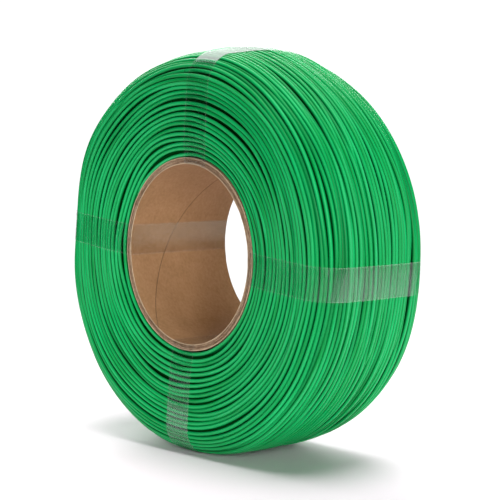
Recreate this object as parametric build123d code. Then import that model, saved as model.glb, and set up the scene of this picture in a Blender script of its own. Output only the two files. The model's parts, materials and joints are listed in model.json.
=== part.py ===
from build123d import *
import math
import os

# Refill coil of printer filament without side flanges: a spiral-wound card core, one long strand
# wound on it, and four strips of clear tape that hold the winding together.
# The bore lies along Y and the coil stands on its rim, with the origin in the middle of the bore.
# Angles about the bore are counted from +Z towards +X.

# ---- Driving dimensions, in millimetres and degrees ----
# Card core: paper plies wound as slanting strips, each with a seam where the strip's edges meet.
bore_radius = 38.1
core_length = 55.0
ply_thickness = 0.4
ply_names = [
    "core_liner",
    "core_ply_2",
    "core_ply_3",
    "core_ply_4",
    "core_ply_5",
    "core_ply_6",
    "core_wrap",
]
seam_pitch = 120.0
seam_gap = 0.3
seam_overrun = 4.0
liner_seam_angle = -67.0
seam_step_angle = 103.0

# Winding: half of its section's outline, as (radius, half width) points.
turn_pitch = 1.79
groove_depth = 0.6
coil_radius = 85.7
inner_half_width = 27.3
swell = (50.0, 29.8)
face_middle = (62.0, 30.3)
shoulder = (73.5, 30.5)
shoulder_middle = (81.9, 26.8)
crown_edge = (85.1, 18.0)

# Flats that the tight tape presses into the winding, and that the coil stands on at 180 degrees.
flat_depth = 0.5
flat_angles = [8.5, 95.0, 180.0, 276.5]

# Tape: name, angle, and the stretch where the strip's end lies over its start,
# as lowest and highest radius and lowest and highest y.
tape_width = 13.5
tape_thickness = 0.06
tape_gap = 0.02
tapes = [
    ("tape_top", 8.5, (78.0, 90.0), (-12.0, 18.0)),
    ("tape_right", 95.0, (78.0, 90.0), (-22.0, 10.0)),
    ("tape_bottom", 182.5, (62.0, 90.0), (-40.0, -16.0)),
    ("tape_left", 276.5, (70.0, 90.0), (-40.0, -14.0)),
]

# ---- Sizes that follow from them ----
core_radius = bore_radius + ply_thickness * len(ply_names)
core_end = core_length / 2
tape_half_sweep = 1.3 * math.degrees(math.asin(tape_width / 2 / bore_radius))


def front(point):
    """A (radius, half width) point on the front side of the coil, which faces -Y."""
    return (point[0], -point[1])


def back(point):
    """A (radius, half width) point on the back side of the coil."""
    return (point[0], point[1])


def core_ply(inner, outer, seam_angle):
    """One paper ply: a thin tube with a helical gap where the edges of its strip meet."""
    tube = Cylinder(outer, core_length) - Cylinder(inner, core_length)
    height = core_length + 2 * seam_overrun
    path = Helix(seam_pitch, height, (inner + outer) / 2)
    across = Plane(path @ 0, x_dir=(1, 0, 0), z_dir=path % 0)
    blade = sweep(across * Rectangle(2 * ply_thickness, seam_gap), path=path, is_frenet=True)
    start_angle = seam_angle - 360 * (core_end + seam_overrun) / seam_pitch
    along_bore = Plane((0, 0, 0), x_dir=(0, 0, 1), z_dir=(0, 1, 0))
    ply = tube - Pos(0, 0, -height / 2) * Rot(0, 0, start_angle) * blade
    return along_bore.location * ply


def winding_outline():
    """Outline of the winding's half section, from the core's front end round to its back end."""
    start = (core_radius, inner_half_width)
    crown = (coil_radius, 0)
    return Wire(
        [
            Line(front(start), front(swell)),
            ThreePointArc(front(swell), front(face_middle), front(shoulder)),
            ThreePointArc(front(shoulder), front(shoulder_middle), front(crown_edge)),
            ThreePointArc(front(crown_edge), crown, back(crown_edge)),
            ThreePointArc(back(crown_edge), back(shoulder_middle), back(shoulder)),
            ThreePointArc(back(shoulder), back(face_middle), back(swell)),
            Line(back(swell), back(start)),
        ]
    )


def outward(along):
    """The direction out of the section, where its outline runs in the direction along."""
    return Vector(along.Y, -along.X)


def pressed(body, distance):
    """A body whose outline was moved out by a distance, with the winding's flats cut into it."""
    reach = 2 * coil_radius
    for angle in flat_angles:
        beyond = Pos(coil_radius - flat_depth + distance + reach / 2, 0, 0) * Box(reach, reach, reach)
        body -= beyond.rotate(Axis.Y, angle - 90)
    return body


def filament_winding():
    """The wound strand: a solid of revolution with one rounded rib for each turn that shows."""
    outline = winding_outline()
    turns = round(outline.length / turn_pitch)
    grooves = []
    for i in range(turns + 1):
        place = outline @ (i / turns)
        along = outline % (i / turns)
        inward = outward(along) * -groove_depth
        if i in (0, turns):
            inward = Vector(0, math.copysign(groove_depth, -place.Y))
        grooves.append(place + inward)
    edges = []
    for i in range(turns):
        crest = outline @ ((i + 0.5) / turns)
        edges.append(ThreePointArc(grooves[i], crest, grooves[i + 1]))
    edges.append(Line(grooves[-1], grooves[0]))
    return pressed(revolve(make_face(Wire(edges)), Axis.Y), 0)


def wrapped_edges():
    """Outline of what a strip of tape goes round: the bore's wall and the winding."""
    bore_back = (bore_radius, core_end)
    bore_front = (bore_radius, -core_end)
    inside = [Line(back(swell), bore_back), Line(bore_back, bore_front), Line(bore_front, front(swell))]
    return inside + list(winding_outline().edges()[1:-1])


def grown_section(distance):
    """The wrapped half section, with its outline moved out by a distance all round."""
    edges = wrapped_edges()
    corners = []
    for i, edge in enumerate(edges):
        after = outward(edge % 0)
        between = (outward(edges[i - 1] % 1) + after).normalized()
        corners.append(edge @ 0 + between * (distance / between.dot(after)))
    moved = []
    for i, edge in enumerate(edges):
        start = corners[i]
        end = corners[(i + 1) % len(edges)]
        if edge.geom_type == GeomType.LINE:
            moved.append(Line(start, end))
        else:
            middle = edge @ 0.5 + outward(edge % 0.5) * distance
            moved.append(ThreePointArc(start, middle, end))
    return make_face(Wire(moved))


def wrapped_body(distance, angle):
    """What a strip of tape goes round near an angle, with its outline moved out by a distance."""
    section = grown_section(distance).rotate(Axis.Y, angle - 90 - tape_half_sweep)
    return pressed(revolve(section, Axis.Y, 2 * tape_half_sweep), distance)


def tape_strip(angle, lap_radii, lap_reach):
    """A strip right round the section, through the bore, with its end lying over its start."""
    under = wrapped_body(tape_gap, angle)
    middle = wrapped_body(tape_gap + tape_thickness, angle)
    over = wrapped_body(tape_gap + 2 * tape_thickness, angle)
    lap_size = (lap_radii[1] - lap_radii[0], lap_reach[1] - lap_reach[0], tape_width)
    lap = Pos(sum(lap_radii) / 2, sum(lap_reach) / 2, 0) * Box(*lap_size)
    slab = Box(4 * coil_radius, 2 * core_length, tape_width)
    lap = lap.rotate(Axis.Y, angle - 90)
    slab = slab.rotate(Axis.Y, angle - 90)
    return ((middle - under) & slab) + ((over - middle) & lap)


def build():
    """Every piece of the coil, by node name."""
    pieces = {}
    for i, name in enumerate(ply_names):
        inner = bore_radius + i * ply_thickness
        seam_angle = liner_seam_angle + i * seam_step_angle
        pieces[name] = core_ply(inner, inner + ply_thickness, seam_angle)
    pieces["filament_winding"] = filament_winding()
    for name, angle, lap_radii, lap_reach in tapes:
        pieces[name] = tape_strip(angle, lap_radii, lap_reach)
    return pieces


os.makedirs("parts", exist_ok=True)
for node, piece in build().items():
    export_step(piece, f"parts/{node}.step")
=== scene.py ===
import bpy
import json
import math
import numpy as np
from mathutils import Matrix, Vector


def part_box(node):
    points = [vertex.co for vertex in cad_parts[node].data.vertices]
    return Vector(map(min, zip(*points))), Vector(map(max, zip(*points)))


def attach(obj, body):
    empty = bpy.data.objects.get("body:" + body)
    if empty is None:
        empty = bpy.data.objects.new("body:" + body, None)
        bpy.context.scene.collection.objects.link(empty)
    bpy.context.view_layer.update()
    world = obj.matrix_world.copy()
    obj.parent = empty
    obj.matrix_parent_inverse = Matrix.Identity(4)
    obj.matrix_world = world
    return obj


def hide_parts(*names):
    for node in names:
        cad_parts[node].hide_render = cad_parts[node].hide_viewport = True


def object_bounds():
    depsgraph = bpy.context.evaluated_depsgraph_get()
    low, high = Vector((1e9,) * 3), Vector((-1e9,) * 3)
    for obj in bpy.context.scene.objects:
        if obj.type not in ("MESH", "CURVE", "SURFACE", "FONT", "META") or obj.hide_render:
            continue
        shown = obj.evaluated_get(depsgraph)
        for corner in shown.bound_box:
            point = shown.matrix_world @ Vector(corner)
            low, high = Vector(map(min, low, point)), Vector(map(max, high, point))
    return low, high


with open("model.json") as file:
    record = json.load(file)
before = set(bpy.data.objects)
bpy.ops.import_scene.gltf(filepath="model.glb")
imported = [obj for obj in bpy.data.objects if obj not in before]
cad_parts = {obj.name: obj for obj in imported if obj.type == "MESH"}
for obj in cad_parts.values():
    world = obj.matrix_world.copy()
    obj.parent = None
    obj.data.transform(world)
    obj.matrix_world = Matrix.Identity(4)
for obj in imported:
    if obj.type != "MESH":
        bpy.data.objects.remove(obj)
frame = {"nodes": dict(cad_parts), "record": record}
cad_low, cad_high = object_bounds()

# ---------------------------------------------------------------- sizes, in metres
MM = 0.001
BORE = frame["record"]["mounts"][0]["dims"]["r_mm"] * MM
CORE_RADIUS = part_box("core_wrap")[1].x
CORE_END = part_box("core_wrap")[1].y
COIL_RADIUS = 85.7 * MM
HALF_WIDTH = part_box("filament_winding")[1].y
FLOOR = cad_low.z
PLIES = 7

STRAND = 1.75 * MM
STRAND_RADIUS = STRAND / 2
TIGHT = 0.955 * STRAND      # how near two turns can lie when they are pressed together
FACE_PITCH = 2.25           # from turn to turn on the faces, in millimetres
PITCH_DROP = 0.42           # how much closer the turns lie on the rim, in millimetres
FACE_LENGTH = 46 * MM       # along the outline, from the core to where the pitch is the rim's
NEST_DROP = 1.45 * MM       # the least that the layer underneath lies below the top one
HEART_DEPTH = 3.4 * MM      # how deep the plain body under the two layers starts

SWELL = 0.75                # how far the rim swells out between the strips, in millimetres
FACE_PULL = 0.10            # how far a strip pulls the faces in, in millimetres
PULL_SWEEP = 9              # spread of a strip's pull, in degrees

TAPE_WIDTH = 13.5 * MM
TAPE_THICKNESS = 0.06 * MM
TAPE_AIR = 0.03 * MM        # left under the film, and between its layers where it lies double
TAPE_STEP = 0.55 * MM       # between samples along the film
SECTION_LOOP = 0.215        # about once round the coil's section, through the bore

# Tape: name, angle from +Z towards +X, where its two ends lie along the section's outline from
# the core's front end, how slanted the cut ends are, how far it pulls the rim in, in
# millimetres, and how milky it is where it lies double.
TAPES = [
    ("tape_top", 8.5, 39.5, 76.0, 0.10, 0.0, 0.36),
    ("tape_right", 95.0, 45.3, 92.0, -0.26, 0.45, 0.06),
    ("tape_bottom", 182.5, 23.0, 47.0, -0.12, 0.45, 0.05),
    ("tape_left", 276.5, 38.0, 62.0, 0.08, 0.45, 0.10),
]

# Places where neighbouring turns part and the layer below shows: distance along the outline in
# millimetres, angle, half length in degrees, and width in millimetres.
GAPS = [
    (3.2, -24, 26, 0.9), (4.0, 156, 24, 0.6), (6.6, -168, 14, 0.5), (9.3, 66, 18, 0.8),
    (10.8, 137, 20, 0.6), (14.1, -167, 14, 0.6), (16.4, -49, 24, 0.8), (18.4, 44, 12, 0.6),
    (21.1, 80, 7, 0.6), (21.2, -108, 17, 0.6), (21.8, 126, 15, 0.5), (26.0, 159, 11, 0.7),
    (28.3, 73, 14, 0.8), (29.8, -20, 24, 1.0), (33.0, 160, 20, 0.7), (35.4, 55, 9, 0.5),
    (37.0, -12, 18, 0.8), (38.0, 66, 20, 0.9), (43.3, 90, 30, 0.7), (48.1, 82, 12, 0.6),
    (49.2, 144, 14, 0.8), (53.4, 40, 18, 0.8), (52.3, 114, 16, 0.7), (57.2, 40, 9, 0.6),
    (58.7, 134, 8, 0.7), (59.5, 113, 9, 0.8), (60.5, 70, 10, 0.6), (62.0, 20, 12, 0.9),
    (62.7, 52, 14, 1.3), (68.9, 30, 28, 1.2), (68.6, 72, 22, 0.8), (69.2, 122, 26, 1.2),
    (74.7, 67, 18, 1.2), (74.1, 114, 12, 0.6), (79.5, 75, 13, 0.9), (85.6, 70, 16, 0.8),
    (82.2, 110, 12, 0.6), (91.8, 118, 8, 0.6),
]

# Lumps and dents of the coil: place along the outline and angle, with the spread of each, and
# height, in millimetres and degrees.
LUMPS = [
    (76, 5, 20, 14, 2.0), (48, -5, 9, 14, -1.6), (92, 25, 12, 9, -0.8),
    (42, -54, 12, 11, 1.1), (42, -84, 12, 9, -0.9), (42, -136, 13, 18, 0.9),
    (42, -166, 12, 9, 0.4), (102, 122, 14, 14, 0.9), (104, 75, 14, 16, 0.3),
    (1, 105, 6, 45, 0.7),
]

SEAM_ANGLE = -67      # where the liner's seam crosses the middle of the bore, in degrees
SEAM_PITCH = 120 * MM

RIM_STEPS = 1080      # samples round the core's cut ends
AROUND = 360          # samples in one turn of the strand
random = np.random.default_rng(11)


# ---------------------------------------------------------------- the winding's section
def arc(start, middle, end, count):
    """Points on the circle through three points, from start up to but without end."""
    (ax, ay), (bx, by), (cx, cy) = start, middle, end
    d = 2 * (ax * (by - cy) + bx * (cy - ay) + cx * (ay - by))
    a, b, c = ax**2 + ay**2, bx**2 + by**2, cx**2 + cy**2
    ux = (a * (by - cy) + b * (cy - ay) + c * (ay - by)) / d
    uy = (a * (cx - bx) + b * (ax - cx) + c * (bx - ax)) / d
    radius = math.hypot(ax - ux, ay - uy)
    first = math.atan2(ay - uy, ax - ux)
    turn = (math.atan2(cy - uy, cx - ux) - first + math.pi) % (2 * math.pi) - math.pi
    angles = first + turn * np.arange(count) / count
    return np.stack([ux + radius * np.cos(angles), uy + radius * np.sin(angles)], 1)


def section_outline():
    """Outline of the winding's half section as (radius, y) points, front to back."""
    build = COIL_RADIUS - CORE_RADIUS
    start = (CORE_RADIUS, -0.895 * HALF_WIDTH)
    swell = (CORE_RADIUS + 0.203 * build, -0.977 * HALF_WIDTH)
    face = (CORE_RADIUS + 0.471 * build, -0.993 * HALF_WIDTH)
    shoulder = (CORE_RADIUS + 0.728 * build, -HALF_WIDTH)
    bend = (CORE_RADIUS + 0.915 * build, -0.879 * HALF_WIDTH)
    edge = (CORE_RADIUS + 0.987 * build, -0.590 * HALF_WIDTH)
    crown = (COIL_RADIUS, 0.0)
    front = np.concatenate([
        np.linspace(start, swell, 60, endpoint=False),
        arc(swell, face, shoulder, 120),
        arc(shoulder, bend, edge, 90),
        arc(edge, crown, (edge[0], -edge[1]), 180)[:90],
    ])
    return np.concatenate([front, [crown], front[::-1] * [1, -1]])


OUTLINE = section_outline()
LENGTHS = np.concatenate([[0], np.cumsum(np.linalg.norm(np.diff(OUTLINE, axis=0), axis=1))])
TOTAL = LENGTHS[-1]
SLOPES = np.gradient(OUTLINE, LENGTHS, axis=0)
SLOPES /= np.linalg.norm(SLOPES, axis=1)[:, None]


def on_outline(along, depth):
    """(radius, y) at a length along the outline, moved out by depth."""
    radius = np.interp(along, LENGTHS, OUTLINE[:, 0])
    y = np.interp(along, LENGTHS, OUTLINE[:, 1])
    out_r = np.interp(along, LENGTHS, SLOPES[:, 1])
    out_y = -np.interp(along, LENGTHS, SLOPES[:, 0])
    norm = np.hypot(out_r, out_y)
    return radius + depth * out_r / norm, y + depth * out_y / norm


# ---------------------------------------------------------------- how the strand lies
def turn_places():
    """Length along the outline at which each turn of the spiral starts, the first one twice."""
    places = [0.55 * STRAND, 0.55 * STRAND]
    while places[-1] < TOTAL - 0.55 * STRAND:
        from_end = min(places[-1], TOTAL - places[-1])
        share = min(from_end / FACE_LENGTH, 1.0)
        places.append(places[-1] + (FACE_PITCH - PITCH_DROP * share) * MM)
    last = TOTAL - 0.55 * STRAND
    return np.array(places[:-1] + [last, last])


PLACES = turn_places()
TURNS = len(PLACES) - 1
ANGLES = np.arange(AROUND) / AROUND * 2 * math.pi
SHARE = np.arange(AROUND) / AROUND
ROWS = 4              # rows of the noise field for each turn


def strand_noise(turns_wide, degrees_wide):
    """Random numbers with unit spread for each turn and angle, unbroken along the strand."""
    shape = ((TURNS + 2) * ROWS, AROUND)
    spectrum = np.fft.fft2(random.standard_normal(shape))
    widths = (turns_wide * ROWS, degrees_wide / 360 * AROUND)
    for axis, width in enumerate(widths):
        waves = np.fft.fftfreq(shape[axis]) * 2 * math.pi
        fade = np.exp(-0.5 * (waves * width) ** 2)
        spectrum = spectrum * (fade[:, None] if axis == 0 else fade[None, :])
    field = np.fft.ifft2(spectrum).real
    field /= field.std()
    row = (np.arange(TURNS)[:, None] + SHARE[None, :]) * ROWS
    low = row.astype(int)
    part = row - low
    column = np.arange(AROUND)[None, :]
    return field[low, column] * (1 - part) + field[low + 1, column] * part


def blurred(values):
    """One light blur along the strand, from turn to turn without a break."""
    flat = values.reshape(-1)
    padded = np.concatenate([flat[:1], flat, flat[-1:]])
    return (0.25 * padded[:-2] + 0.5 * flat + 0.25 * padded[2:]).reshape(values.shape)


def angle_from(angles, degrees):
    """Signed distance from a direction, in degrees."""
    return (np.degrees(angles) - degrees + 180) % 360 - 180


def parted(along):
    """Moves the turns apart where the layer below shows between them."""
    turns = np.arange(TURNS)
    shift = np.zeros_like(along)
    for place, degrees, half_length, width in GAPS:
        away = angle_from(ANGLES, degrees)
        spread = np.interp(place, (40, 60), (2.2, 5.5))
        centre = int(np.argmin(np.abs(away)))
        middles = (along[1:, centre] + along[:-1, centre]) / 2
        inner = int(np.argmin(np.abs(middles - place * MM)))
        # Turns counted from the gap, along the strand, so that nothing changes at the join.
        count = np.round(turns[:, None] + SHARE - SHARE[centre] - away / 360) - inner - 0.5
        reach = np.exp(-0.5 * (away / (0.62 * half_length)) ** 2)
        fade = np.exp(-(np.abs(count) - 0.5) / spread)
        shift += 0.5 * width * MM * reach * np.sign(count) * fade
    return along + shift


def strand_path():
    """Where the strand lies: its length along the outline and its depth, per turn and angle."""
    # The first turns lie flat against each other and step over to the next place in one stretch.
    step_over = np.clip((SHARE - 0.55) / 0.45, 0, 1)
    stepped = np.exp(-np.arange(TURNS) / 2.5)[:, None]
    climb = SHARE + stepped * (step_over**2 * (3 - 2 * step_over) - SHARE)
    along = PLACES[:-1, None] * (1 - climb) + PLACES[1:, None] * climb
    ends = np.clip(np.minimum(along, TOTAL - along) / (4 * MM), 0, 1)
    on_face = np.clip((np.abs(along - TOTAL / 2) - 24 * MM) / (14 * MM), 0, 1)
    flow = (0.46 - 0.10 * on_face) * strand_noise(2.2, 15)
    stray = 0.34 * strand_noise(0.45, 13)
    along = along + MM * ends * (flow + stray)
    along = parted(along)
    low = np.clip(strand_noise(0.4, 12) + 0.1, 0, None)
    depth = -MM * (0.15 + (0.44 - 0.22 * on_face) * low)
    for turn, way in ((0, 1), (TURNS - 1, -1)):
        apart = np.abs(along[turn + way] - along[turn])
        depth[turn] = -np.sqrt(np.clip(STRAND**2 - apart**2, 0, None))
    home, base = along.copy(), depth.copy()
    for step in range(120):
        for reach in (1, 2):
            gap_along = along[reach:] - along[:-reach]
            gap_depth = depth[reach:] - depth[:-reach]
            gap = np.hypot(gap_along, gap_depth) + 1e-9
            push = np.clip(TIGHT - gap, 0, None) * 0.40 / gap
            along[reach:] += push * gap_along
            along[:-reach] -= push * gap_along
            depth[reach:] += push * gap_depth
            depth[:-reach] -= push * gap_depth
        along = np.clip(along, 0.5 * STRAND, TOTAL - 0.5 * STRAND)
        depth = np.minimum(depth, 0)
        along += 0.04 * (home - along)
        depth += 0.02 * (base - depth)
        if step % 3 == 0:
            along, depth = blurred(along), blurred(depth)
    return along, depth


def nested_path(along, depth):
    """The turns of the layer underneath, each in the groove between two turns on top."""
    apart = np.abs(along[1:] - along[:-1])
    drop = np.sqrt(np.clip(STRAND**2 - (apart / 2) ** 2, NEST_DROP**2, None))
    return (along[1:] + along[:-1]) / 2, (depth[1:] + depth[:-1]) / 2 - drop - 0.12 * MM


def shape_of_coil(along, angles):
    """How far the tape's pull and the coil's own lumps move its surface out."""
    outer = np.interp(along, LENGTHS, OUTLINE[:, 0]) - CORE_RADIUS
    outer = np.clip(outer / (COIL_RADIUS - CORE_RADIUS), 0, 1) ** 2
    moved = SWELL * outer
    for _, degrees, _, _, _, pull, _ in TAPES:
        near = np.exp(-0.5 * (angle_from(angles, degrees) / PULL_SWEEP) ** 2)
        moved = moved - (FACE_PULL + pull * outer) * near
    for place, degrees, width, sweep, height in LUMPS:
        bump = np.exp(-0.5 * ((along / MM - place) / width) ** 2)
        near = np.exp(-0.5 * (angle_from(angles, degrees) / sweep) ** 2)
        moved = moved + height * bump * near
    return np.minimum(MM * moved, room_over_floor(along, angles))


def room_over_floor(along, angles):
    """How far out the surface may lie where the coil stands on the floor."""
    down = np.clip(-np.cos(angles), 0.5, 1)
    return (-FLOOR - 0.2 * MM) / down - np.interp(along, LENGTHS, OUTLINE[:, 0])


# ---------------------------------------------------------------- meshes
def new_mesh(name, points, faces):
    """A smooth-shaded mesh object in the coil's own frame."""
    mesh = bpy.data.meshes.new(name)
    mesh.from_pydata(np.asarray(points).tolist(), [], faces)
    mesh.shade_smooth()
    piece = bpy.data.objects.new(name, mesh)
    bpy.context.scene.collection.objects.link(piece)
    return piece


def part_of(piece, slot, *nodes):
    """Hides the CAD nodes that a piece of the coil stands in for, and hangs the piece on the
    coil's one body.
    """
    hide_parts(*nodes)
    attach(piece, "root")
    return piece


def tube(name, centre_r, centre_y, angles, out, sides):
    """A closed tube round a path of (radius, y, angle), with how far each point faces out, which
    sets where its material paints shade and a highlight.
    """
    around = np.arange(sides) / sides * 2 * math.pi
    ring_r = centre_r[:, None] + STRAND_RADIUS * np.cos(around)
    ring_y = centre_y[:, None] + STRAND_RADIUS * np.sin(around)
    x = ring_r * np.sin(angles)[:, None]
    z = ring_r * np.cos(angles)[:, None]
    points = np.stack([x, ring_y, z], 2).reshape(-1, 3)
    index = np.arange(len(points)).reshape(-1, sides)
    after = np.roll(index, -1, axis=1)
    quads = np.stack([index[:-1], index[1:], after[1:], after[:-1]], 2).reshape(-1, 4)
    faces = quads.tolist() + [index[0].tolist(), index[-1][::-1].tolist()]
    piece = new_mesh(name, points, faces)
    # How far each point faces out of the coil: the material paints shade where this is low and a
    # highlight where it is high.
    facing = out[:, :1] * np.cos(around) + out[:, 1:] * np.sin(around)
    painted_light_facing = piece.data.attributes.new("painted_light_facing", "FLOAT", "POINT")
    painted_light_facing.data.foreach_set("value", facing.reshape(-1))
    return piece


def strand_piece(name, along, depth, first, last, sides, every):
    """One stretch of the strand, from turn first up to turn last."""
    stop = min(last * AROUND + 1, along.size)
    samples = np.append(np.arange(first * AROUND, stop - 1, every), stop - 1)
    flat_along, flat_depth = along.reshape(-1)[samples], depth.reshape(-1)[samples]
    angles = samples / AROUND * 2 * math.pi
    moved = shape_of_coil(flat_along, angles)
    centre_r, centre_y = on_outline(flat_along, flat_depth + moved - STRAND_RADIUS)
    crest_r, crest_y = on_outline(flat_along, flat_depth + moved)
    out = np.stack([crest_r - centre_r, crest_y - centre_y], 1) / STRAND_RADIUS
    # Deeper turns get lower values, so their material paints them darker: painted shade.
    out *= np.clip(1 + flat_depth[:, None] / (1.6 * MM), 0.2, 1)
    piece = tube(name, centre_r, centre_y, angles, out, sides)
    return part_of(piece, "filament", "filament_winding")


def revolved(name, profile, steps):
    """A closed ring from a closed (radius, y) profile, turned round the bore's axis."""
    angles = np.arange(steps) / steps * 2 * math.pi
    profile = np.asarray(profile)
    x = profile[None, :, 0] * np.sin(angles)[:, None]
    z = profile[None, :, 0] * np.cos(angles)[:, None]
    y = np.broadcast_to(profile[None, :, 1], x.shape)
    points = np.stack([x, y, z], 2).reshape(-1, 3)
    index = np.arange(len(points)).reshape(steps, -1)
    ahead = np.roll(index, -1, axis=0)
    faces = np.stack([index, ahead, np.roll(ahead, -1, 1), np.roll(index, -1, 1)], 2)
    return new_mesh(name, points, faces.reshape(-1, 4).tolist())


# ---------------------------------------------------------------- the core's details
def ring_noise(rows, degrees_wide):
    """Random numbers with unit spread for each row and angle, without a break round the ring."""
    waves = np.fft.fftfreq(RIM_STEPS) * 2 * math.pi * degrees_wide / 360 * RIM_STEPS
    spectrum = np.fft.fft(random.standard_normal((rows, RIM_STEPS)), axis=1)
    values = np.fft.ifft(spectrum * np.exp(-0.5 * waves**2), axis=1).real
    return values / values.std()


def rim_piece(name, side):
    """The cut end of the core: a ridge for each ply, frayed and uneven, liner and wrap proud."""
    per_ply = 6
    place = np.arange(PLIES * per_ply + 1) / per_ply
    ply = np.minimum(place.astype(int), PLIES - 1)
    dome = 1 - np.abs(2 * (place - ply) - 1) ** 3
    edge_ply = (ply == 0) | (ply == PLIES - 1)
    frayed = ring_noise(PLIES, 1.6)[ply] * 0.05 + ring_noise(PLIES, 9)[ply] * 0.04
    rough = ring_noise(len(place), 0.35) * 0.018
    height = 0.06 + dome[:, None] * (0.10 + 0.09 * edge_ply[:, None] + frayed) + rough
    radius = BORE + place / PLIES * (CORE_RADIUS - BORE)
    angles = np.arange(RIM_STEPS) / RIM_STEPS * 2 * math.pi
    ring_r = np.concatenate([radius, [CORE_RADIUS, BORE]])[:, None] * np.ones(RIM_STEPS)
    sunk_and_shaded = np.full((2, RIM_STEPS), -0.3)
    ring_y = side * (CORE_END + MM * np.concatenate([np.clip(height, 0.02, 0.36), sunk_and_shaded]))
    points = np.stack([ring_r * np.sin(angles), ring_y, ring_r * np.cos(angles)], 2)
    index = np.arange(ring_r.size).reshape(ring_r.shape)
    ahead = np.roll(index, -1, axis=1)
    quads = np.stack([index, ahead, np.roll(ahead, -1, axis=0), np.roll(index, -1, axis=0)], 2)
    piece = new_mesh(name, points.reshape(-1, 3), quads.reshape(-1, 4)[:, ::side].tolist())
    tones = 0.34 + 0.10 * ring_noise(PLIES, 5)[ply] + 0.14 * ring_noise(len(place), 0.5)
    # The two outer plies are lighter, and each ply's tone falls towards where its ridge dips into
    # the next.
    tones = np.where(edge_ply[:, None], tones + 0.42, tones) - 0.30 * (1 - dome[:, None])
    tone = piece.data.attributes.new("tone", "FLOAT", "POINT")
    # The two rows down the rim's sides take the darkest tone: painted shade where the rim meets
    # the winding and the bore.
    tone.data.foreach_set("value", np.concatenate([tones, sunk_and_shaded]).reshape(-1))
    piece.data.materials.append(RIM)
    return part_of(piece, "core_board")


def seam_piece():
    """A dark line where the edges of the liner's strip meet, round the bore: glue, and painted
    shade of the narrow gap between them.
    """
    y = np.linspace(-CORE_END, CORE_END, 121)
    middle = np.radians(SEAM_ANGLE + 360 * y / SEAM_PITCH)
    knots = np.linspace(-CORE_END, CORE_END, 31)
    wander = 0.05 * MM * np.interp(y, knots, random.standard_normal(31))
    rows = []
    for level, half in ((0.03, -0.27), (0.03, 0.27), (-0.015, 0.27), (-0.015, -0.27)):
        angles = middle + half * MM / BORE
        radius = BORE + level * MM
        rows.append(np.stack([radius * np.sin(angles), y + wander, radius * np.cos(angles)], 1))
    points = np.stack(rows, 1).reshape(-1, 3)
    index = np.arange(len(points)).reshape(-1, 4)
    after = np.roll(index, -1, axis=1)
    quads = np.stack([index[:-1], index[1:], after[1:], after[:-1]], 2).reshape(-1, 4).tolist()
    piece = new_mesh("liner_seam", points, quads + [index[0].tolist(), index[-1][::-1].tolist()])
    piece.data.materials.append(SEAM)
    return part_of(piece, "kraft_liner")


# ---------------------------------------------------------------- the tape
def crest_heights(along, depth):
    """Height of the strands' crests over the outline, on an even grid along it, per angle."""
    grid = np.arange(0, TOTAL, 0.3 * MM)
    heights = np.full((len(grid), AROUND), -1.2 * MM)
    for turn in range(TURNS):
        away = grid[:, None] - along[turn][None, :]
        rise = np.sqrt(np.clip(STRAND_RADIUS**2 - away**2, 0, None)) - STRAND_RADIUS
        here = np.where(np.abs(away) < STRAND_RADIUS, depth[turn][None, :] + rise, -1.2 * MM)
        heights = np.maximum(heights, here)
    return grid, heights


def stretched(column):
    """What a tight film makes of a row of crests: it rests on the high ones and spans the rest."""
    reach = 12
    padded = np.pad(column, reach, mode="edge")
    highest = np.max([padded[i:i + len(column)] for i in range(2 * reach + 1)], axis=0)
    weights = np.hanning(2 * reach + 1)
    weights /= weights.sum()
    return np.convolve(np.pad(highest, reach, mode="edge"), weights, mode="valid")


def film_heights(heights):
    """Height of a film over the outline at each angle, smooth along it and across."""
    highest = np.max([np.roll(heights, i, axis=1) for i in range(-3, 4)], axis=0)
    lifts = np.stack([stretched(column) for column in highest.T], 1)
    side = 4
    weights = np.hanning(2 * side + 3)[1:-1]
    weights /= weights.sum()
    return sum(weight * np.roll(lifts, i - side, axis=1) for i, weight in enumerate(weights))


def film_line(angle, grid, lifts):
    """The closed line of (radius, y) points that the film follows at an angle round the axis."""
    start = 9.0 * MM
    keep = (grid > start) & (grid < TOTAL - start)
    column = angle / (2 * math.pi) * AROUND
    low, part = int(column), column - int(column)
    lift = lifts[keep, low % AROUND] * (1 - part) + lifts[keep, (low + 1) % AROUND] * part
    lift = lift + shape_of_coil(grid[keep], angle) + TAPE_AIR
    radius, y = on_outline(grid[keep], lift)
    inner, end = BORE - 0.04 * MM, CORE_END + 0.42 * MM
    corner = 0.35 * MM
    outer = np.stack([radius, y], 1)
    back = np.linspace(outer[-1], (inner + corner, end), 20)[1:]
    bore = np.linspace((inner, end - corner), (inner, corner - end), 40)
    front = np.linspace((inner + corner, -end), outer[0], 20)[:-1]
    return np.concatenate([front, outer, back, bore])


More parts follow.
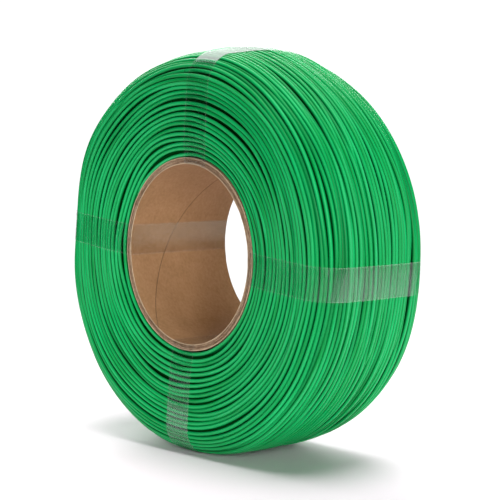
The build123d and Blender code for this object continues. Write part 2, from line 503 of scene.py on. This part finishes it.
def film_sheets(degrees, across, first_end, last_end, slant, grid, lifts):
    """The lower and upper faces of a strip, as points on rows across it and columns along it."""
    middle = math.radians(degrees)
    inward = np.array([math.sin(middle), math.cos(middle)])
    sideways = np.array([math.cos(middle), -math.sin(middle)])
    sheets = [[], []]
    for offset in across:
        angle = middle + math.atan(offset / (0.85 * COIL_RADIUS))
        line = film_line(angle, grid, lifts)
        line = np.concatenate([line, line, line[:1]])
        length = np.concatenate([[0], np.cumsum(np.linalg.norm(np.diff(line, axis=0), axis=1))])
        loop = length[-1] / 2
        # The film's ends are given from the core's end, where the outline starts.
        lead = length[np.argmin(np.hypot(line[:40, 0] - CORE_RADIUS, line[:40, 1] + CORE_END))]
        begin = lead + first_end * MM + slant * offset
        lap = (last_end - first_end) * MM
        reach = np.linspace(0, loop + lap, int(round((SECTION_LOOP + lap) / TAPE_STEP)))
        over = np.clip((reach - loop) / (1.2 * MM), 0, 1)
        lift = (TAPE_THICKNESS + TAPE_AIR) * over * over * (3 - 2 * over)
        place = (begin + reach) % loop
        point = np.stack([np.interp(place, length, line[:, k]) for k in (0, 1)], 1)
        ahead = np.stack([np.interp(place + 0.2 * MM, length, line[:, k]) for k in (0, 1)], 1)
        along = ahead - point
        along /= np.linalg.norm(along, axis=1)[:, None] + 1e-12
        out = np.stack([along[:, 1], -along[:, 0]], 1)
        for level, sheet in enumerate(sheets):
            moved = point + out * (lift + level * TAPE_THICKNESS)[:, None]
            depth = np.sqrt(np.clip(moved[:, 0] ** 2 - offset**2, 0, None))
            x = depth * inward[0] + offset * sideways[0]
            z = depth * inward[1] + offset * sideways[1]
            sheet.append(np.stack([x, moved[:, 1], z], 1))
    count = min(len(line) for line in sheets[0])
    return [np.array([line[:count] for line in sheet]) for sheet in sheets]


def film_slots(strips, count, faces):
    """Material slot of each face: 0 clear, 1 on the edges, 2 where the film lies double."""
    columns = count - 1
    slots = np.zeros(faces, dtype=int)
    lapped = np.tile(np.arange(columns) > round(SECTION_LOOP / TAPE_STEP), strips)
    slots[strips * columns:2 * strips * columns] = np.where(lapped, 2, 0)
    for sheet in range(2):
        for strip in (0, strips - 1):
            first = (sheet * strips + strip) * columns
            slots[first:first + columns] = 1
    slots[2 * strips * columns:] = 1
    return slots


def film_piece(name, degrees, first_end, last_end, slant, haze, grid, lifts):
    """A strip of film once round the coil's section, its last stretch over its first."""
    edge = 0.3 * MM
    half = TAPE_WIDTH / 2
    across = np.concatenate([[-half], np.linspace(-half + edge, half - edge, 12), [half]])
    low, high = film_sheets(degrees, across, first_end, last_end, slant, grid, lifts)
    rows, count = low.shape[:2]
    points = np.concatenate([low.reshape(-1, 3), high.reshape(-1, 3)])
    under = np.arange(rows * count).reshape(rows, count)
    above = under + rows * count
    faces = []
    for index, flip in ((under, 1), (above, -1)):
        quads = np.stack([index[:-1, :-1], index[1:, :-1], index[1:, 1:], index[:-1, 1:]], 2)
        faces += quads.reshape(-1, 4)[:, ::flip].tolist()
    rim = np.concatenate([under[0], under[1:, -1], under[-1, -2::-1], under[-2:0:-1, 0]])
    rim_above = rim + rows * count
    faces += np.stack([rim, np.roll(rim, -1), np.roll(rim_above, -1), rim_above], 1).tolist()
    piece = new_mesh(name, points, faces)
    for material in (FILM, FILM_EDGE, film_material(name + "_lap", haze, 0.5, 0.0)):
        piece.data.materials.append(material)
    slots = film_slots(rows - 1, count, len(faces))
    piece.data.polygons.foreach_set("material_index", slots)
    return part_of(piece, "clear_tape", name.replace("film_", "tape_"))


# ---------------------------------------------------------------- materials
class Shader:
    """A new material, and short ways to add nodes to it."""

    def __init__(self, name, colour, roughness, **values):
        self.material = bpy.data.materials.new(name)
        self.material.use_nodes = True
        self.tree = self.material.node_tree
        self.base = self.tree.nodes["Principled BSDF"]
        self.base.inputs["Base Color"].default_value = (*colour, 1)
        self.base.inputs["Roughness"].default_value = roughness
        for key, value in values.items():
            self.base.inputs[key.replace("_", " ")].default_value = value

    def node(self, kind, settings=None, **inputs):
        made = self.tree.nodes.new(kind)
        for key, value in (settings or {}).items():
            setattr(made, key, value)
        for key, value in inputs.items():
            self.feed(made.inputs[int(key[1:]) if key[0] == "_" else key.replace("_", " ")], value)
        return made

    def feed(self, socket, value):
        if isinstance(value, bpy.types.NodeSocket):
            self.tree.links.new(value, socket)
        else:
            socket.default_value = value

    def sum(self, operation, first, second=0.0):
        made = self.node("ShaderNodeMath", {"operation": operation}, _0=first, _1=second)
        return made.outputs[0]

    def weighted(self, first, share, second, rest):
        """One value times its share, plus another times the rest."""
        parts = [self.sum("MULTIPLY", first, share), self.sum("MULTIPLY", second, rest)]
        return self.sum("ADD", *parts)

    def noise(self, vector, scale, detail=2.0, roughness=0.5):
        looks = {"Scale": scale, "Detail": detail, "Roughness": roughness}
        return self.node("ShaderNodeTexNoise", Vector=vector, **looks).outputs["Fac"]

    def stored(self, name):
        """A value that the mesh holds for each point."""
        return self.node("ShaderNodeAttribute", {"attribute_name": name}).outputs["Fac"]

    def place(self):
        return self.node("ShaderNodeTexCoord").outputs["Object"]

    def round_the_bore(self, across, around):
        """Coordinates that follow the strand: radius, y and angle, each with its own scale."""
        parts = self.node("ShaderNodeSeparateXYZ", _0=self.place()).outputs
        angle = self.sum("ARCTAN2", parts[0], parts[2])
        squares = [self.sum("POWER", parts[axis], 2.0) for axis in (0, 2)]
        radius = self.sum("SQRT", self.sum("ADD", *squares))
        pairs = ((radius, across), (parts[1], across), (angle, around))
        scaled = [self.sum("MULTIPLY", value, scale) for value, scale in pairs]
        made = self.node("ShaderNodeCombineXYZ", _0=scaled[0], _1=scaled[1], _2=scaled[2])
        return made.outputs[0]

    def ramp(self, value, *stops):
        made = self.node("ShaderNodeValToRGB", _0=value)
        elements = made.color_ramp.elements
        while len(elements) < len(stops):
            elements.new(0.5)
        for element, (position, colour) in zip(elements, stops):
            element.position = position
            element.color = (*colour, 1)
        return made.outputs["Color"]

    def level(self, value, low, high):
        """A value from 0 to 1, spread from low to high."""
        return self.node("ShaderNodeMapRange", _0=value, _3=low, _4=high).outputs[0]

    def rising(self, value, start, end, top=1.0):
        """0 up to start, rising to top at end."""
        return self.node("ShaderNodeMapRange", _0=value, _1=start, _2=end, _4=top).outputs[0]

    def mixed(self, share, first, second):
        """One colour turned into another as share rises."""
        made = self.node("ShaderNodeMix", {"data_type": "RGBA"}, _0=share, _6=first, _7=second)
        return made.outputs[2]

    def colour(self, value):
        self.feed(self.base.inputs["Base Color"], value)

    def rough(self, value):
        self.feed(self.base.inputs["Roughness"], value)

    def bump(self, height, distance, strength=1.0):
        made = self.node("ShaderNodeBump", Height=height, Distance=distance, Strength=strength)
        self.feed(self.base.inputs["Normal"], made.outputs[0])


def filament_material(name, deep, bright, shine):
    """Satin extruded plastic: faint tone changes and fine draw lines along the strand, with
    painted shade in the grooves and on the strands' sides, and a painted highlight, a whitish
    sheen, on top."""
    shader = Shader(name, bright, 0.4, Specular_IOR_Level=shine)
    tone = shader.noise(shader.round_the_bore(520, 2.2), 1.0, 2.0)
    lit = shader.ramp(tone, (0.30, deep), (0.72, bright))
    painted_light_facing = shader.stored("painted_light_facing")
    # Painted shade: where a point faces away, its colour turns towards a third of the dark tone.
    groove = tuple(0.36 * value for value in deep)
    shaded = shader.mixed(shader.rising(painted_light_facing, -0.05, 0.78), (*groove, 1), lit)
    # Painted highlight: where a point faces straight out, its colour turns towards a lighter,
    # whiter green, a painted sheen.
    painted_highlight = tuple(1.06 * value + extra for value, extra in zip(bright, (0.035, 0.03, 0.05)))
    shader.colour(shader.mixed(shader.rising(painted_light_facing, 0.78, 1.0, 0.75), shaded, (*painted_highlight, 1)))
    shader.rough(shader.level(shader.noise(shader.round_the_bore(900, 9), 1.0, 3.0), 0.34, 0.50))
    shader.bump(shader.noise(shader.round_the_bore(1300, 14), 1.0, 2.0), 0.00002, 0.4)
    return shader.material


def film_material(name, alpha, roughness, metallic=1.0):
    """Clear film: a little of the light is thrown back, and the rest goes through. Where it is
    laid double it isn't metallic, and looks milky."""
    colour = (0.30, 0.40, 0.36) if metallic else (0.91, 0.93, 0.92)
    looks = {"Alpha": alpha, "Metallic": metallic, "Specular_IOR_Level": 0.1}
    shader = Shader(name, colour, roughness, **looks)
    shader.base.inputs["Specular Tint"].default_value = (0.30, 0.30, 0.30, 1)
    smears = shader.noise(shader.place(), 260, 2.0)
    shader.rough(shader.level(smears, 0.7 * roughness, 1.5 * roughness))
    shader.bump(shader.noise(shader.place(), 90, 2.0), 0.0006, 0.06)
    return shader.material


def kraft_material():
    """Brown kraft paper: mottled, with short fibres."""
    shader = Shader("kraft_paper", (0.33, 0.19, 0.10), 0.82, Specular_IOR_Level=0.25)
    fibres = shader.noise(shader.round_the_bore(900, 28), 1.0, 4.0, 0.6)
    mottle = shader.noise(shader.place(), 120, 3.0, 0.6)
    mixed = shader.weighted(fibres, 0.6, mottle, 0.4)
    dark, middle, light = (0.27, 0.150, 0.066), (0.33, 0.186, 0.086), (0.39, 0.225, 0.112)
    shader.colour(shader.ramp(mixed, (0.30, dark), (0.5, middle), (0.72, light)))
    shader.bump(fibres, 0.00008, 0.5)
    return shader.material


def board_material(name, dark, light):
    """The cut edge of a paper ply: rough and fibrous."""
    shader = Shader(name, light, 0.9, Specular_IOR_Level=0.2)
    fluff = shader.noise(shader.place(), 1500, 4.0, 0.65)
    wide = shader.noise(shader.place(), 140, 2.0)
    mixed = shader.weighted(fluff, 0.55, wide, 0.45)
    shader.colour(shader.ramp(mixed, (0.34, dark), (0.66, light)))
    shader.bump(fluff, 0.00015, 0.7)
    return shader.material


def rim_material():
    """The core's cut end: grey-brown board between the cream edges of its two smooth papers."""
    shader = Shader("core_rim", (0.36, 0.26, 0.17), 0.9, Specular_IOR_Level=0.15)
    fluff = shader.noise(shader.place(), 2600, 3.0, 0.6)
    mixed = shader.sum("ADD", shader.stored("tone"), shader.sum("MULTIPLY", fluff, 0.5))
    stops = ((0.30, (0.12, 0.070, 0.040)), (0.58, (0.27, 0.175, 0.105)), (1.0, (0.54, 0.41, 0.27)))
    shader.colour(shader.ramp(mixed, *stops))
    shader.bump(fluff, 0.00012, 0.8)
    return shader.material


# ---------------------------------------------------------------- build
GREEN = filament_material("filament", (0.0, 0.315, 0.062), (0.004, 0.475, 0.128), 0.15)
# A darker, matt copy of the filament: painted shade for the layer underneath and the body below
# it.
GREEN_SHADED = filament_material("filament_shaded", (0.0, 0.085, 0.011), (0.0, 0.125, 0.020), 0.0)
FILM = film_material("tape_film", 0.062, 0.22)
FILM_EDGE = film_material("tape_edge", 0.05, 0.5, 0.0)
KRAFT = kraft_material()
BOARD = board_material("core_board", (0.24, 0.15, 0.085), (0.42, 0.29, 0.18))
RIM = rim_material()
# Dark brown for the seam: glue, and painted shade of the gap between the liner's edges.
SEAM = board_material("seam_shade", (0.10, 0.056, 0.028), (0.20, 0.116, 0.060))

along, depth = strand_path()
cuts = [0, int(TURNS * 0.26), int(TURNS * 0.5), int(TURNS * 0.74), TURNS]
names = ["strand_front_face", "strand_outer_front", "strand_outer_back", "strand_back_face"]
for name, first, last in zip(names, cuts[:-1], cuts[1:]):
    strand_piece(name, along, depth, first, last, 12, 1).data.materials.append(GREEN)

# The layer underneath, in the darker copy: painted shade where it shows between the turns on top.
under_along, under_depth = nested_path(along, depth)
under_cuts = [0, TURNS // 2, TURNS - 1]
under_names = ["strand_under_front", "strand_under_back"]
for name, first, last in zip(under_names, under_cuts[:-1], under_cuts[1:]):
    under = strand_piece(name, under_along, under_depth, first, last, 8, 3)
    under.data.materials.append(GREEN_SHADED)

# The plain body under the two layers, in the darker copy too: painted shade.
heart_r, heart_y = on_outline(LENGTHS, np.full(len(LENGTHS), -HEART_DEPTH))
heart_profile = list(zip(heart_r, heart_y))[1:-1:6]
heart_profile = [(CORE_RADIUS, heart_y[0]), *heart_profile, (CORE_RADIUS, heart_y[-1])]
heart = part_of(revolved("strand_heart", heart_profile, 180), "filament", "filament_winding")
heart.data.materials.append(GREEN_SHADED)

grid, heights = crest_heights(along, depth)
lifts = film_heights(heights)
for node_name, degrees, first_end, last_end, slant, _, haze in TAPES:
    name = node_name.replace("tape_", "film_")
    film_piece(name, degrees, first_end, last_end, slant, haze, grid, lifts)

rim_piece("rim_front", -1)
rim_piece("rim_back", 1)
seam_piece()
for name, node in frame["nodes"].items():
    if name.startswith("core_"):
        node.data.materials.clear()
        node.data.materials.append(KRAFT if name == "core_liner" else BOARD)


# ---------------------------------------------------------------- stage, light and camera
def floor_piece():
    """A pale disc, wide enough for every shadow, tinted against the green light of the coil."""
    steps, radius = 96, 0.52
    angles = np.arange(steps) / steps * 2 * math.pi
    x, y = radius * np.cos(angles), radius * np.sin(angles)
    points = np.stack([x, y, np.full(steps, FLOOR)], 1)
    piece = new_mesh("studio_floor", points, [list(range(steps))])
    shader = Shader("studio_floor", (0.91, 0.84, 0.89), 0.9, Specular_IOR_Level=0.0)
    piece.data.materials.append(shader.material)


def from_sky(azimuth, elevation):
    """A direction, with its azimuth counted from the front, -Y, towards +X."""
    a, e = math.radians(azimuth), math.radians(elevation)
    return Vector((math.cos(e) * math.sin(a), -math.cos(e) * math.cos(a), math.sin(e)))


def sun_light(name, azimuth, elevation, spread, strength):
    data = bpy.data.lights.new(name, "SUN")
    data.angle = math.radians(spread)
    data.energy = strength
    lamp = bpy.data.objects.new(name, data)
    lamp.rotation_mode = "QUATERNION"
    lamp.rotation_quaternion = (-from_sky(azimuth, elevation)).to_track_quat("-Z", "Y")
    bpy.context.scene.collection.objects.link(lamp)


def white_world(strength):
    """White behind everything, and a weaker even light from all round."""
    world = bpy.data.worlds.new("studio")
    world.use_nodes = True
    nodes, links = world.node_tree.nodes, world.node_tree.links
    nodes["Background"].inputs["Color"].default_value = (1, 1, 1, 1)
    path = nodes.new("ShaderNodeLightPath")
    level = nodes.new("ShaderNodeMapRange")
    level.inputs["To Min"].default_value = strength
    level.inputs["To Max"].default_value = 1.1
    links.new(path.outputs["Is Camera Ray"], level.inputs["Value"])
    links.new(level.outputs["Result"], nodes["Background"].inputs["Strength"])
    bpy.context.scene.world = world


def studio():
    floor_piece()
    white_world(0.02)
    sun_light("softbox_top", 90, 84, 36, 2.45)
    sun_light("softbox_high", 250, 50, 44, 1.3)
    sun_light("softbox_back", 228, 15, 46, 3.3)
    sun_light("softbox_front", 56, 13, 30, 2.4)
    bpy.context.scene.view_settings.view_transform = "Standard"


def camera():
    back = from_sky(48.1, 4.4)
    data = bpy.data.cameras.new("camera")
    data.sensor_width = 36
    data.lens = 108.2
    data.shift_x = 0.0289
    data.shift_y = 0.0021
    data.clip_start, data.clip_end = 0.01, 50
    eye = bpy.data.objects.new("camera", data)
    eye.location = back * 0.652
    eye.rotation_mode = "QUATERNION"
    eye.rotation_quaternion = (-back).to_track_quat("-Z", "Y")
    bpy.context.scene.collection.objects.link(eye)
    bpy.context.scene.camera = eye


studio()
camera()
